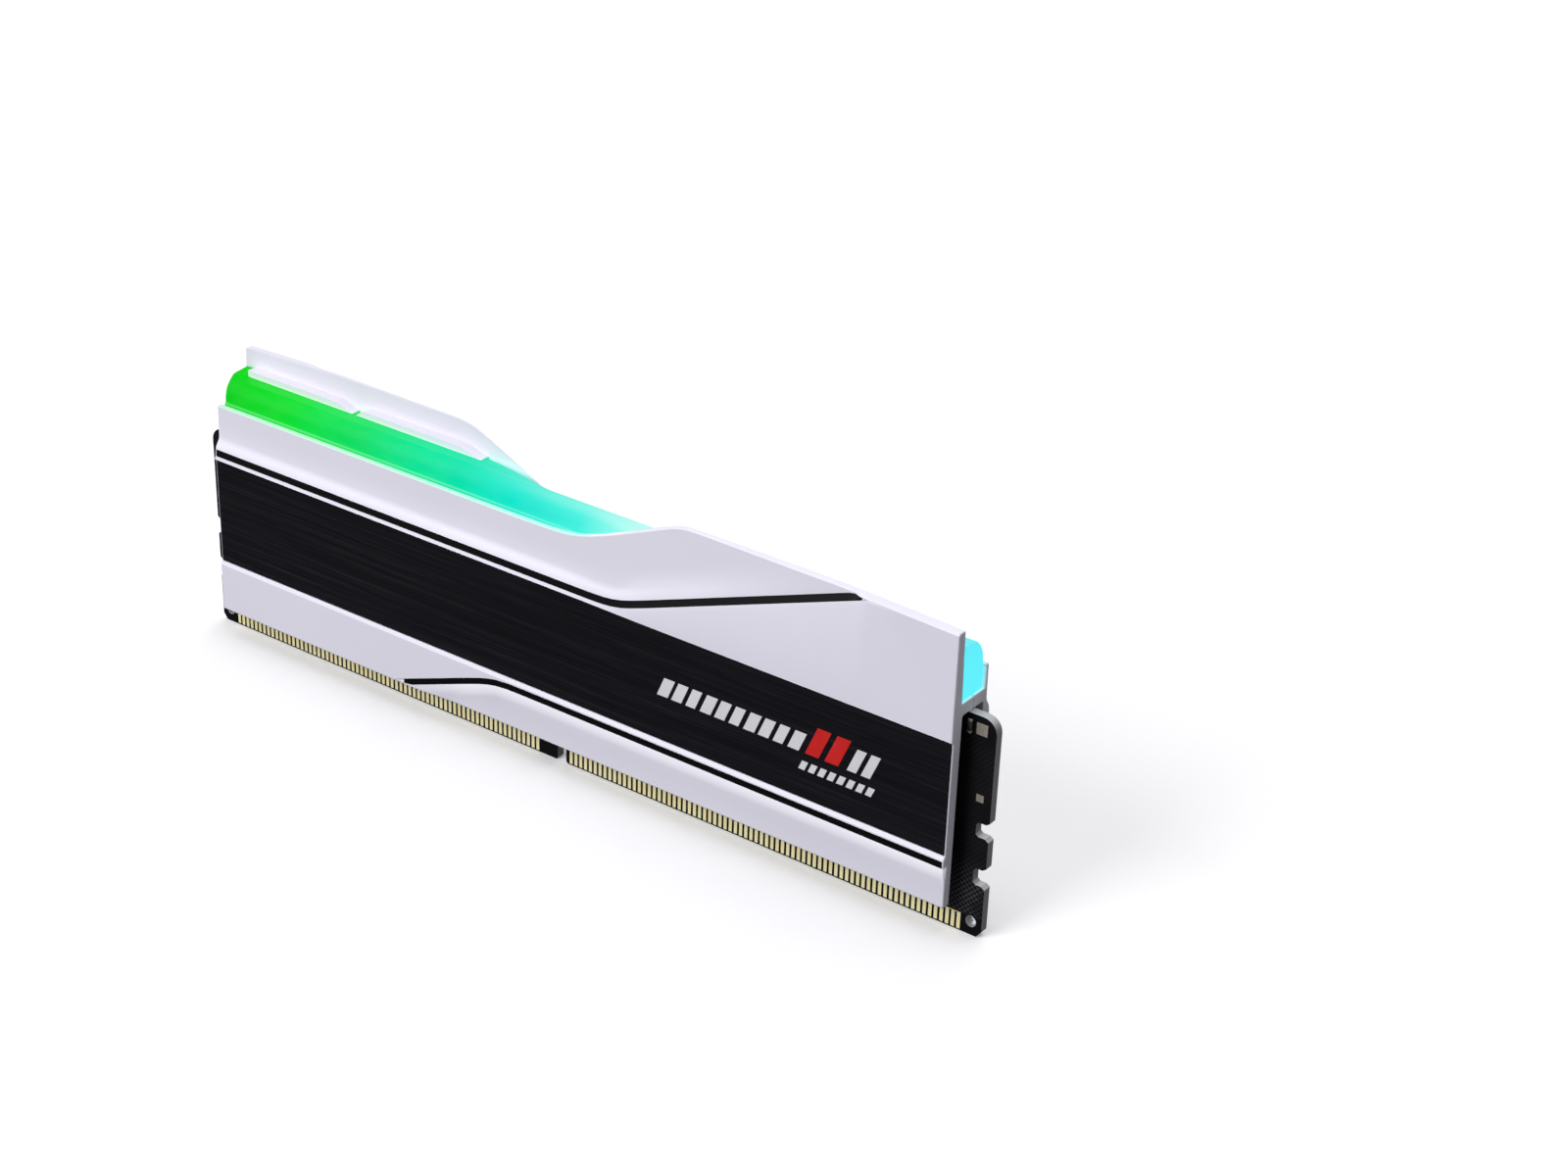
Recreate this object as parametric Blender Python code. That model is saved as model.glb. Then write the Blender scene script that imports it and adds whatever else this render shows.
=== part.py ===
"""Desktop memory module: black card with edge contacts, two interlocking white
heat-spreader shells, brushed black inserts, accent strips and a light bar.

Frame: X along the card, Y through its thickness (front face at -Y), Z up.
The origin is the middle of the card's bottom edge. Lengths below are in
millimetres and are scaled to metres when the meshes are made.
"""

import math

import bmesh
import bpy
from mathutils import Matrix

MM = 0.001

# card
CARD_LENGTH = 133.35
CARD_HEIGHT = 31.25
CARD_THICKNESS = 1.27
CARD_CORNER_RADIUS = 2.0
CARD_BOTTOM_CHAMFER = 0.7
LATCH_NOTCHES = ((7.5, 9.9, 64.9), (14.45, 16.5, 64.8))  # lower z, upper z, inner x
KEY_NOTCH_X = -1.25
KEY_NOTCH_WIDTH = 1.5
KEY_NOTCH_HEIGHT = 3.7
CORNER_HOLE_X = 65.1
CORNER_HOLE_Z = 1.95
CORNER_HOLE_DIAMETER = 1.6

# edge contacts
CONTACT_PITCH = 0.85
CONTACT_WIDTH = 0.5
CONTACT_BOTTOM = 0.25
CONTACT_TOP = 2.6
CONTACT_THICKNESS = 0.06
CONTACT_GAP = 0.02
PLATING_LINK = 0.06
FIRST_CONTACT_X = -63.325
LEFT_CONTACTS = 69
RIGHT_CONTACTS = 75

# heat-spreader shells
SHELL_HALF_LENGTH = 62.7
SHELL_BOTTOM = 4.35
SHELL_END_CHAMFER = 0.1
PANEL_DEPTH = 4.35
SHELL_INNER_DEPTH = 2.4
INSERT_BOTTOM = 12.2
INSERT_TOP = 28.48
INSERT_HALF_LENGTH = 62.5
RECESS_HALF_LENGTH = 62.55
RECESS_FLOOR = 3.5
INSERT_DEPTHS = (3.53, 3.98)
LINE_HALF_WIDTH = 0.51
LINE_BEND_X = 10.35
LINE_SLOPE = 0.371
LINE_LEVEL = 29.45
LINE_MIRROR_SUM = 40.45
LOW_TOP = 36.45
HIGH_TOP = 44.0
LEDGE_TOP = 33.25
LEDGE_BOTTOM = 31.5
LEDGE_CLOSED_FROM = 57.0
LEDGE_SEAM = 0.12
RIB_END = 60.7

# light bar
BAR_ENDS = (-62.1, 62.45)
BAR_CAP_FROM = RIB_END + 0.1
BAR_STEM_HALF_LENGTH = 56.0
BAR_TOP = 39.95

# packages on the card
DRAM_SIZE = (8.2, 1.1, 11.0)
DRAM_CENTRES_X = (-53.5, -41.5, -29.5, -17.5, 17.5, 29.5, 41.5, 53.5)
DRAM_CENTRE_Z = 14.5
LED_COUNT = 10
LED_SPACING = 11.6


def smooth(t):
    t = min(max(t, 0.0), 1.0)
    return t * t * (3 - 2 * t)


def mix(a, b, t):
    return a + (b - a) * t


def soft_ramp(x, width):
    return width * math.log1p(math.exp(min(x / width, 60.0)))


def clear_scene():
    for old in list(bpy.data.objects):
        bpy.data.objects.remove(old, do_unlink=True)


def material(name, colour, roughness, metallic=0.0, emission=None):
    made = bpy.data.materials.new(name)
    made.use_nodes = True
    made.diffuse_color = (*colour, 1.0)
    shader = made.node_tree.nodes["Principled BSDF"]
    shader.inputs["Base Color"].default_value = (*colour, 1.0)
    shader.inputs["Roughness"].default_value = roughness
    shader.inputs["Metallic"].default_value = metallic
    if emission:
        shader.inputs["Emission Color"].default_value = (*emission, 1.0)
        shader.inputs["Emission Strength"].default_value = 1.0
    return made


def finish_object(name, bm, made):
    """Turns a bmesh given in millimetres into one object in metres."""
    bmesh.ops.recalc_face_normals(bm, faces=bm.faces[:])
    for vert in bm.verts:
        vert.co *= MM
    mesh = bpy.data.meshes.new(name)
    bm.to_mesh(mesh)
    bm.free()
    mesh.materials.append(made)
    obj = bpy.data.objects.new(name, mesh)
    bpy.context.scene.collection.objects.link(obj)
    obj.parent = module
    return obj


def loft(sections):
    """Closed body through rings of 3D points, with flat ends."""
    bm = bmesh.new()
    rings = [[bm.verts.new(point) for point in section] for section in sections]
    for ring, after in zip(rings, rings[1:]):
        count = len(ring)
        for i in range(count):
            j = (i + 1) % count
            bm.faces.new((ring[i], ring[j], after[j], after[i]))
    bm.faces.new(list(reversed(rings[0])))
    bm.faces.new(rings[-1])
    return bm


def plate(outline, y_front, y_back):
    """Flat body between two depths from an outline of (x, z) points."""
    bm = bmesh.new()
    front = [bm.verts.new((x, y_front, z)) for x, z in outline]
    face = bm.faces.new(front)
    made = bmesh.ops.extrude_face_region(bm, geom=[face])
    moved = [v for v in made["geom"] if isinstance(v, bmesh.types.BMVert)]
    bmesh.ops.translate(bm, verts=moved, vec=(0, y_back - y_front, 0))
    return bm


def block(centre, size, bevel=0.0, segments=1):
    bm = bmesh.new()
    bmesh.ops.create_cube(bm, size=1.0)
    bmesh.ops.scale(bm, vec=size, verts=bm.verts)
    bmesh.ops.translate(bm, vec=centre, verts=bm.verts)
    if bevel:
        bmesh.ops.bevel(
            bm,
            geom=bm.edges[:],
            offset=bevel,
            segments=segments,
            profile=0.5,
            affect="EDGES",
        )
    return bm


def arc(cx, cz, radius, start, end, steps):
    """Points on an arc in the XZ plane, angles in degrees."""
    points = []
    for i in range(steps + 1):
        angle = math.radians(mix(start, end, i / steps))
        points.append((cx + radius * math.cos(angle), cz + radius * math.sin(angle)))
    return points


def cut(obj, cutter, name, operation="DIFFERENCE"):
    cutter.hide_render = True
    cutter.display_type = "WIRE"
    modifier = obj.modifiers.new(name, "BOOLEAN")
    modifier.operation = operation
    modifier.solver = "EXACT"
    modifier.object = cutter


def rotated_copy(obj, name):
    """The same part turned half a turn about the module's upright axis."""
    mesh = obj.data.copy()
    mesh.name = name
    for vert in mesh.vertices:
        vert.co.x, vert.co.y = -vert.co.x, -vert.co.y
    copy = bpy.data.objects.new(name, mesh)
    bpy.context.scene.collection.objects.link(copy)
    copy.parent = module
    return copy


# ---------------------------------------------------------------- card

def card_side(sign):
    """Right-hand half of the card's outline from bottom to top, mirrored by sign."""
    edge = CARD_LENGTH / 2
    points = [(edge - CARD_BOTTOM_CHAMFER, 0.0), (edge, CARD_BOTTOM_CHAMFER * 1.3)]
    for low, high, inner in LATCH_NOTCHES:
        r = 0.35
        points += [(edge - 0.5, low), (edge, low - 0.35)][::-1]
        points += [(inner + r, low), (inner, low + r), (inner, high - r), (inner + r, high)]
        points += [(edge - 0.5, high), (edge, high + 0.35)]
    r = CARD_CORNER_RADIUS
    points += arc(edge - r, CARD_HEIGHT - r, r, 0, 90, 8)
    return [(sign * x, z) for x, z in points]


def make_card():
    right = card_side(1)
    left = card_side(-1)[::-1]
    half = KEY_NOTCH_WIDTH / 2
    top = KEY_NOTCH_HEIGHT - half
    key = [(KEY_NOTCH_X - half - 0.25, 0.0), (KEY_NOTCH_X - half, 0.3)]
    key += arc(KEY_NOTCH_X, top, half, 180, 0, 10)
    key += [(KEY_NOTCH_X + half, 0.3), (KEY_NOTCH_X + half + 0.25, 0.0)]
    bm = plate(right + left + key, -CARD_THICKNESS / 2, CARD_THICKNESS / 2)
    card = finish_object("circuit_board", bm, BOARD)
    for name, x in (("hole_right", CORNER_HOLE_X), ("hole_left", -CORNER_HOLE_X)):
        tool = bmesh.new()
        bmesh.ops.create_cone(
            tool,
            cap_ends=True,
            segments=24,
            radius1=CORNER_HOLE_DIAMETER / 2,
            radius2=CORNER_HOLE_DIAMETER / 2,
            depth=4.0,
        )
        upright_to_y = Matrix.Rotation(math.radians(90), 3, "X")
        bmesh.ops.rotate(tool, cent=(0, 0, 0), verts=tool.verts, matrix=upright_to_y)
        bmesh.ops.translate(tool, vec=(x, 0, CORNER_HOLE_Z), verts=tool.verts)
        cut(card, finish_object("cutter_" + name, tool, BOARD), name)
    return card


def comb(first_x, count, side):
    """One group of edge contacts, joined along their top ends by the hair-thin
    plating link."""
    half = CONTACT_WIDTH / 2
    last_x = first_x + (count - 1) * CONTACT_PITCH
    link = CONTACT_TOP + PLATING_LINK
    outline = [(last_x + half, link), (first_x - half, link)]
    for i in range(count):
        x = first_x + i * CONTACT_PITCH
        outline.append((x - half, CONTACT_BOTTOM))
        outline.append((x + half, CONTACT_BOTTOM))
        if i < count - 1:
            outline.append((x + half, CONTACT_TOP))
            outline.append((x + CONTACT_PITCH - half, CONTACT_TOP))
    near = side * (CARD_THICKNESS / 2 + CONTACT_GAP)
    return plate(outline, near, near + side * CONTACT_THICKNESS)


def make_contacts():
    right_x = FIRST_CONTACT_X + (LEFT_CONTACTS + 6) * CONTACT_PITCH
    for face, side in (("front", -1), ("rear", 1)):
        finish_object(
            f"contacts_{face}_left", comb(FIRST_CONTACT_X, LEFT_CONTACTS, side), GOLD
        )
        finish_object(f"contacts_{face}_right", comb(right_x, RIGHT_CONTACTS, side), GOLD)


# ---------------------------------------------------------------- packages

def front_part(name, x, z, size, made, bevel=0.08, gap=0.05):
    """A package soldered to the front face of the card."""
    y = -(CARD_THICKNESS / 2 + gap + size[1] / 2)
    return finish_object(name, block((x, y, z), size, bevel), made)


def make_packages():
    for i, x in enumerate(DRAM_CENTRES_X):
        front_part(f"dram_chip_{i + 1}", x, DRAM_CENTRE_Z, DRAM_SIZE, EPOXY)
    front_part("power_management_chip", 0.0, 21.0, (5.0, 0.9, 5.0), EPOXY)
    front_part("spd_hub_chip", 8.6, 21.0, (3.0, 0.75, 2.0), EPOXY)
    front_part("light_controller_chip", -9.0, 21.5, (4.0, 0.8, 4.0), EPOXY)
    for i, x in enumerate((-7.0, 0.0, 7.0)):
        front_part(f"power_inductor_{i + 1}", x, 14.0, (4.1, 1.2, 4.1), FERRITE, 0.25)
    for i, x in enumerate((-9.0, -3.4, 3.4, 9.0)):
        front_part(f"bulk_capacitor_{i + 1}", x, 8.6, (3.2, 1.1, 1.6), CERAMIC, 0.12)
    start = -LED_SPACING * (LED_COUNT - 1) / 2
    for i in range(LED_COUNT):
        front_part(
            f"rgb_led_{i + 1}", start + i * LED_SPACING, 29.9, (3.2, 0.6, 1.5), LED, 0.1
        )


def make_pads():
    inner = -(CARD_THICKNESS / 2 + 0.05 + DRAM_SIZE[1]) - 0.05
    outer = -(SHELL_INNER_DEPTH - 0.05)
    for name, x0, x1 in (
        ("dram_thermal_pad_left", -58.5, -12.6),
        ("dram_thermal_pad_right", 12.6, 58.5),
    ):
        centre = ((x0 + x1) / 2, (inner + outer) / 2, DRAM_CENTRE_Z)
        finish_object(
            name, block(centre, (x1 - x0, inner - outer, 12.0), 0.12), THERMAL_PAD
        )
    inner = -(CARD_THICKNESS / 2 + 0.05 + 0.9) - 0.05
    finish_object(
        "power_thermal_pad",
        block((0.0, (inner + outer) / 2, 21.3), (9.0, inner - outer, 6.0), 0.12),
        THERMAL_PAD,
    )
    near = CARD_THICKNESS / 2 + 0.05
    far = SHELL_INNER_DEPTH - 0.05
    finish_object(
        "rear_foam_pad",
        block((0.0, (near + far) / 2, 17.5), (117.0, far - near, 19.0), 0.15),
        FOAM,
    )


# ---------------------------------------------------------------- shells

def upper_line(x):
    """Height of the upper accent line's middle."""
    return LINE_LEVEL + LINE_SLOPE * soft_ramp(x - LINE_BEND_X, 1.2)


def lower_line(x):
    return LINE_MIRROR_SUM - upper_line(-x)


def shell_top(x):
    """Outline of the shell's top: low on the left, a sweep up, high on the right."""
    rise = (HIGH_TOP - LOW_TOP) / 0.43
    sweep = 0.43 * (soft_ramp(x - 3.0, 1.8) - soft_ramp(x - 3.0 - rise, 0.8))
    return LOW_TOP + sweep - 0.65 * min(max((x - 45.0) / 17.7, 0.0), 1.0)


def outer_depth(x, z):
    """How far the shell's outer face stands from the card's middle plane."""
    up, low = upper_line(x), lower_line(x)
    if z > up:
        raised = smooth((x - 1.0) / 17.0)
        over = z - up - LINE_HALF_WIDTH
        shoulder = 0.78 * smooth(over / 1.7) + 0.08 * smooth((over - 1.7) / 4.5)
        dying = 0.24 * raised * (1 - smooth((x - 14.0) / 30.0)) * smooth(over / 2.6)
        face = mix(3.92, 3.86, raised) - 0.1 * raised * smooth(over / 8)
        return face - shoulder * (1 - raised) - dying
    if z > INSERT_TOP - 0.2:
        left = 1 - smooth((x - 4.0) / 12.0)
        rise = min(max((z - INSERT_TOP) / 0.7, 0.0), 1.0)
        near_line = 1 - smooth((up - LINE_HALF_WIDTH - z) / 0.5)
        return PANEL_DEPTH - left * (0.12 + 0.25 * rise) - 0.1 * near_line * (1 - left)
    if z > low:
        edge = smooth((INSERT_BOTTOM - z) / 0.5)
        left = 1 - smooth((x + 32.0) / 14.0)
        return mix(4.0, mix(4.3, 4.28, left), edge)
    under = low - LINE_HALF_WIDTH - z
    near = smooth((x + 28.0) / 10.0)
    return 4.28 - 0.58 * near * smooth(under / 2.8)


def spaced(values, low, high, step):
    """Keeps rising values rising by at least step, inside low to high."""
    values = [max(v, low + step * i) for i, v in enumerate(values)]
    for i in range(1, len(values)):
        values[i] = max(values[i], values[i - 1] + step)
    last = len(values) - 1
    values = [min(v, high - step * (last - i)) for i, v in enumerate(values)]
    return values


def shell_section(x, chamfer=0.0):
    """Ring of the front shell at x, as (x, y, z) points."""
    up, low, top = upper_line(x), lower_line(x), shell_top(x) - chamfer
    h = LINE_HALF_WIDTH
    bottom = SHELL_BOTTOM + chamfer
    ring = []
    lower = [bottom + 0.22, low - h - 2.8, low - h - 2.1, low - h - 1.4, low - h - 0.7, low - h, low + h]
    lower = spaced(lower, bottom + 0.22, INSERT_BOTTOM - 0.62, 0.06)
    ring.append((outer_depth(x, lower[0]) - 0.2, bottom))
    ring += [(outer_depth(x, z), z) for z in lower]
    ring.append((outer_depth(x, INSERT_BOTTOM - 0.5), INSERT_BOTTOM - 0.5))
    ring.append((4.0, INSERT_BOTTOM))
    floor = RECESS_FLOOR if abs(x) <= RECESS_HALF_LENGTH + 0.001 else 3.97
    ring.append((floor, INSERT_BOTTOM + 0.01))
    ring.append((floor, INSERT_TOP - 0.01))
    ring.append((outer_depth(x, INSERT_TOP), INSERT_TOP))
    raised = smooth((x + 1.0) / 16.0)
    bevel = mix(0.14, 0.26, raised)
    upper = [up - h - 0.4, up - h, up + h, up + h + 0.45, up + h + 0.9, up + h + 1.3, up + h + 1.8, up + h + 4.0]
    upper = spaced(upper, INSERT_TOP + 0.1, top - bevel - 0.06, 0.06)
    ring += [(outer_depth(x, z), z) for z in upper]
    ring.append((outer_depth(x, top - bevel), top - bevel))
    ring.append((outer_depth(x, top - bevel) - 0.8 * bevel, top))
    ring = [(d - (chamfer if d > 3.0 else 0.0), z) for d, z in ring]
    ring.append((mix(2.36, 3.05, raised), top))
    ring.append((mix(2.3, 2.66, raised), LEDGE_TOP + 0.1))
    ring.append((mix(2.2, 2.56, raised), LEDGE_TOP))
    reach = LEDGE_SEAM if abs(x) > LEDGE_CLOSED_FROM else 1.5
    ring.append((reach, LEDGE_TOP))
    ring.append((reach, LEDGE_BOTTOM))
    ring.append((SHELL_INNER_DEPTH - 0.25, LEDGE_BOTTOM))
    ring.append((SHELL_INNER_DEPTH, LEDGE_BOTTOM - 0.25))
    ring.append((SHELL_INNER_DEPTH, bottom))
    return [(x, -d, z) for d, z in ring]


def shell_stations():
    end = SHELL_HALF_LENGTH
    stations = [-end, -end + SHELL_END_CHAMFER, -RECESS_HALF_LENGTH - 0.01, -RECESS_HALF_LENGTH]
    stations += [-60.0, -LEDGE_CLOSED_FROM - 0.02, -LEDGE_CLOSED_FROM + 0.02]
    stations += [-48.0, -38.0, -32.0, -30.0, -28.5, -27.0, -25.5, -24.0, -21.0, -18.0]
    stations += [-15.0, -13.0, -11.5, -10.0, -8.0, -6.0, -3.0, -1.0]
    stations += [1.0, 2.5, 4.0, 5.5, 7.0, 8.5, 10.0, 11.5, 13.0, 15.0, 17.0, 18.5, 19.5]
    stations += [20.5, 21.5, 23.0, 26.0, 30.0, 35.0, 40.0, 44.0, 45.5, 46.5, 47.5, 48.5, 50.0]
    stations += [54.0, LEDGE_CLOSED_FROM - 0.02, LEDGE_CLOSED_FROM + 0.02, 60.0]
    stations += [RECESS_HALF_LENGTH, RECESS_HALF_LENGTH + 0.01, end - SHELL_END_CHAMFER, end]
    return stations


def groove_span(x, which, margin):
    """Lower and upper edge of an accent line at x, kept off the shell's own edge."""
    h = LINE_HALF_WIDTH - margin
    if which == "upper":
        limit = shell_top(x) - 0.34 - margin
        mid = upper_line(x)
        return min(mid - h, limit - 0.02), min(mid + h, limit)
    limit = SHELL_BOTTOM + 0.3 + margin
    mid = lower_line(x)
    return max(mid - h, limit), max(mid + h, limit + 0.02)


def groove_floor(x, which):
    """Depth of the groove's floor along its lower and its upper edge. The floor
    tilts with the shell's face, so the strip in it lies almost flush."""
    mid = upper_line(x) if which == "upper" else lower_line(x)
    below = outer_depth(x, mid - LINE_HALF_WIDTH - 0.001)
    above = outer_depth(x, mid + LINE_HALF_WIDTH + 0.001)
    return below - 0.24, above - 0.24


def groove_sections(which, margin, depths):
    """Rings along an accent line. depths gives (inner, outer) above the floor."""
    if which == "upper":
        ends = (-INSERT_HALF_LENGTH + margin, 49.35)
    else:
        ends = (-29.6, INSERT_HALF_LENGTH - margin)
    xs = [x for x in shell_stations() if ends[0] < x < ends[1] and abs(abs(x) - 57) > 0.03]
    xs = [ends[0]] + xs + [ends[1]]
    rings = []
    for x in xs:
        low, high = groove_span(x, which, margin)
        if high - low < 0.08:
            continue
        below, above = groove_floor(x, which)
        inner, outer = depths
        rings.append(
            [
                (x, -(below + inner), low),
                (x, -(below + outer), low),
                (x, -(above + outer), high),
                (x, -(above + inner), high),
            ]
        )
    return rings


def inner_rib(outline, name, made):
    """A rib on the raised wall that traps the light bar from above."""
    return finish_object(name, plate(outline, -1.35, -3.3), made)


def make_shells():
    sections = []
    for x in shell_stations():
        at_end = abs(x) > SHELL_HALF_LENGTH - 0.01
        sections.append(shell_section(x, SHELL_END_CHAMFER if at_end else 0.0))
    front = finish_object("front_heat_spreader", loft(sections), WHITE_PAINT)
    bottom, top = BAR_TOP + 0.06, 40.95
    ribs = (
        [(RIB_END, bottom), (RIB_END, top), (43.3, top), (40.6, bottom)],
        [(39.9, bottom), (38.5, top), (20.8, top), (17.0, bottom)],
    )
    tools = []
    for i, outline in enumerate(ribs):
        tools.append((inner_rib(outline, f"tool_rib_{i}", WHITE_PAINT), "UNION"))
    for which in ("upper", "lower"):
        rings = groove_sections(which, 0.0, (0.0, 1.6))
        tools.append((finish_object(f"tool_groove_{which}", loft(rings), WHITE_PAINT), "DIFFERENCE"))
    for tool, operation in tools:
        cut(front, tool, tool.name, operation)
    rear = rotated_copy(front, "rear_heat_spreader")
    for tool, operation in tools:
        turned = rotated_copy(tool, tool.name + "_rear")
        cut(rear, turned, turned.name, operation)


def make_inserts():
    z0, z1 = INSERT_BOTTOM + 0.06, INSERT_TOP - 0.06
    near, far = INSERT_DEPTHS
    half = INSERT_HALF_LENGTH
    bm = block(
        (0.0, -(near + far) / 2, (z0 + z1) / 2), (2 * half, far - near, z1 - z0), 0.06
    )
    front = finish_object("front_insert", bm, BRUSHED_BLACK)
    rotated_copy(front, "rear_insert")


def make_accents():
    for which in ("upper", "lower"):
        rings = groove_sections(which, 0.03, (0.03, 0.22))
        strip = finish_object(f"front_accent_{which}", loft(rings), BLACK_PAINT)
        rotated_copy(strip, f"rear_accent_{which}")


# ---------------------------------------------------------------- light bar

# (distance from the middle plane, height), from the step at the foot to the top
WALL_FLANK = (
    (2.54, 33.3), (2.62, 36.6), (2.63, 36.68), (2.66, 37.5), (2.7, 38.3),
    (2.73, 39.0), (2.76, 39.5), (2.72, 39.78), (2.58, 39.9), (0.4, 39.95),
)
FREE_FLANK = (
    (2.14, 33.3), (2.14, 36.6), (1.93, 36.68), (1.86, 37.55), (1.68, 38.3),
    (1.38, 38.95), (1.0, 39.42), (0.72, 39.7), (0.5, 39.86), (0.3, 39.95),
)
# the raised caps past the ribs
CAP_WALL_FLANK = (
    (2.54, 33.3), (2.62, 36.6), (2.63, 36.68), (2.66, 37.6), (2.7, 38.5),
    (2.74, 39.3), (2.78, 40.2), (2.76, 40.66), (2.6, 40.86), (0.4, 40.66),
)
CAP_FREE_FLANK = (
    (2.14, 33.3), (2.14, 36.6), (1.96, 36.7), (1.9, 37.7), (1.74, 38.5),
    (1.45, 39.1), (1.1, 39.6), (0.78, 39.98), (0.45, 40.3), (0.12, 40.55),
)


def bar_flank(wall, cap):
    """One side of the bar's section: free or against a raised wall, with or
    without the end cap."""
    low = zip(FREE_FLANK, WALL_FLANK)
    high = zip(CAP_FREE_FLANK, CAP_WALL_FLANK)
    points = []
    for (free, held), (cap_free, cap_held) in zip(low, high):
        plain = [mix(free[k], held[k], wall) for k in (0, 1)]
        capped = [mix(cap_free[k], cap_held[k], wall) for k in (0, 1)]
        points.append([mix(plain[k], capped[k], cap) for k in (0, 1)])
    return points


def bar_section(x):
    """Ring of the light bar at x. Under a raised wall the bar fills the space to
    the wall, and on the open side it has a step and a curved flank."""
    wall_front = smooth((x - 3.0) / 15.0)
    wall_rear = smooth((-x - 3.0) / 15.0)
    cap = 1.0 if abs(x) >= BAR_CAP_FROM + 0.1 else 0.0
    stem = 31.56 if abs(x) <= BAR_STEM_HALF_LENGTH + 0.001 else 33.28
    ring = [(-1.25, 33.29), (-1.25, stem), (1.25, stem), (1.25, 33.29)]
    ring += [(y, z) for y, z in bar_flank(wall_rear, cap)]
    ring += [(-y, z) for y, z in reversed(bar_flank(wall_front, cap))]
    return [(x, y, z) for y, z in ring]


def make_light_bar():
    stem = BAR_STEM_HALF_LENGTH
    foot, cap = BAR_CAP_FROM, BAR_CAP_FROM + 0.1
    xs = [BAR_ENDS[0], -cap, -foot, -stem - 0.02, -stem, -40.0]
    xs += [-20.0 + 2.0 * i for i in range(21)]
    xs += [40.0, stem, stem + 0.02, foot, cap, BAR_ENDS[1]]
    finish_object("light_bar", loft([bar_section(x) for x in xs]), LIT_PLASTIC)


clear_scene()

module = bpy.data.objects.new("memory_module", None)
bpy.context.scene.collection.objects.link(module)

BOARD = material("board_black", (0.012, 0.011, 0.013), 0.45)
GOLD = material("contact_gold", (0.83, 0.66, 0.32), 0.28, 1.0)
EPOXY = material("package_epoxy", (0.02, 0.02, 0.022), 0.55)
FERRITE = material("inductor_ferrite", (0.09, 0.09, 0.095), 0.6)
CERAMIC = material("capacitor_ceramic", (0.42, 0.3, 0.2), 0.4)
LED = material("led_lens", (0.85, 0.87, 0.85), 0.3)
THERMAL_PAD = material("thermal_pad_grey", (0.35, 0.4, 0.45), 0.8)
FOAM = material("foam_black", (0.03, 0.03, 0.03), 0.9)
WHITE_PAINT = material("spreader_white", (0.80, 0.79, 0.84), 0.35)
BRUSHED_BLACK = material("insert_brushed_black", (0.018, 0.018, 0.021), 0.38, 0.85)
BLACK_PAINT = material("accent_black", (0.004, 0.004, 0.004), 0.4)
LIT_PLASTIC = material("light_bar_plastic", (0.1, 0.9, 0.6), 0.3, 0.0, (0.02, 0.9, 0.5))

make_card()
make_contacts()
make_packages()
make_pads()
make_shells()
make_inserts()
make_accents()
make_light_bar()
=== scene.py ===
import math

import bmesh
import bpy
from mathutils import Matrix, Vector


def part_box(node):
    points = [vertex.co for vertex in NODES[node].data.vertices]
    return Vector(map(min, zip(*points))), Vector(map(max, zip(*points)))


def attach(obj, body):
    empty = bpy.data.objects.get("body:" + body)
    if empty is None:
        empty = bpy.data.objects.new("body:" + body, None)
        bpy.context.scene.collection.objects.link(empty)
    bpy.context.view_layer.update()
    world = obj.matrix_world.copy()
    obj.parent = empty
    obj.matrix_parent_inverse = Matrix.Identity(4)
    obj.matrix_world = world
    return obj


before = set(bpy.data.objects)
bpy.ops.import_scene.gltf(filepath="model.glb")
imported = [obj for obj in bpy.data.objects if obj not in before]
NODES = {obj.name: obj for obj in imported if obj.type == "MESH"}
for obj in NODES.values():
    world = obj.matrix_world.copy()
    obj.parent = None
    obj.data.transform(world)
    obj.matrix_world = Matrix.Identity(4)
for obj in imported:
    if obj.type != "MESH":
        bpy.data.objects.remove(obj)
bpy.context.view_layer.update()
MM = 0.001


# ------------------------------------------------------------- shape helpers

def shading_group():
    """Welds a CAD mesh and shades it smooth, with sharp edges kept sharp."""
    group = bpy.data.node_groups.new("cad_shading", "GeometryNodeTree")
    group.interface.new_socket("Geometry", in_out="INPUT", socket_type="NodeSocketGeometry")
    group.interface.new_socket("Geometry", in_out="OUTPUT", socket_type="NodeSocketGeometry")
    nodes, links = group.nodes, group.links
    start = nodes.new("NodeGroupInput")
    end = nodes.new("NodeGroupOutput")
    weld = nodes.new("GeometryNodeMergeByDistance")
    weld.inputs["Distance"].default_value = 2e-6
    plain = nodes.new("GeometryNodeRemoveAttribute")
    plain.inputs["Name"].default_value = "custom_normal"
    angle = nodes.new("GeometryNodeInputMeshEdgeAngle")
    sharp = nodes.new("FunctionNodeCompare")
    sharp.data_type = "FLOAT"
    sharp.operation = "GREATER_THAN"
    sharp.inputs["B"].default_value = math.radians(24)
    soft = nodes.new("GeometryNodeSetShadeSmooth")
    soft.domain = "FACE"
    soft.inputs["Shade Smooth"].default_value = True
    hard = nodes.new("GeometryNodeSetShadeSmooth")
    hard.domain = "EDGE"
    hard.inputs["Shade Smooth"].default_value = False
    links.new(start.outputs[0], weld.inputs["Geometry"])
    links.new(weld.outputs[0], plain.inputs["Geometry"])
    links.new(plain.outputs[0], soft.inputs["Geometry"])
    links.new(soft.outputs[0], hard.inputs["Geometry"])
    links.new(angle.outputs["Unsigned Angle"], sharp.inputs["A"])
    links.new(sharp.outputs["Result"], hard.inputs["Selection"])
    links.new(hard.outputs[0], end.inputs[0])
    return group


SHADING = shading_group()


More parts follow.
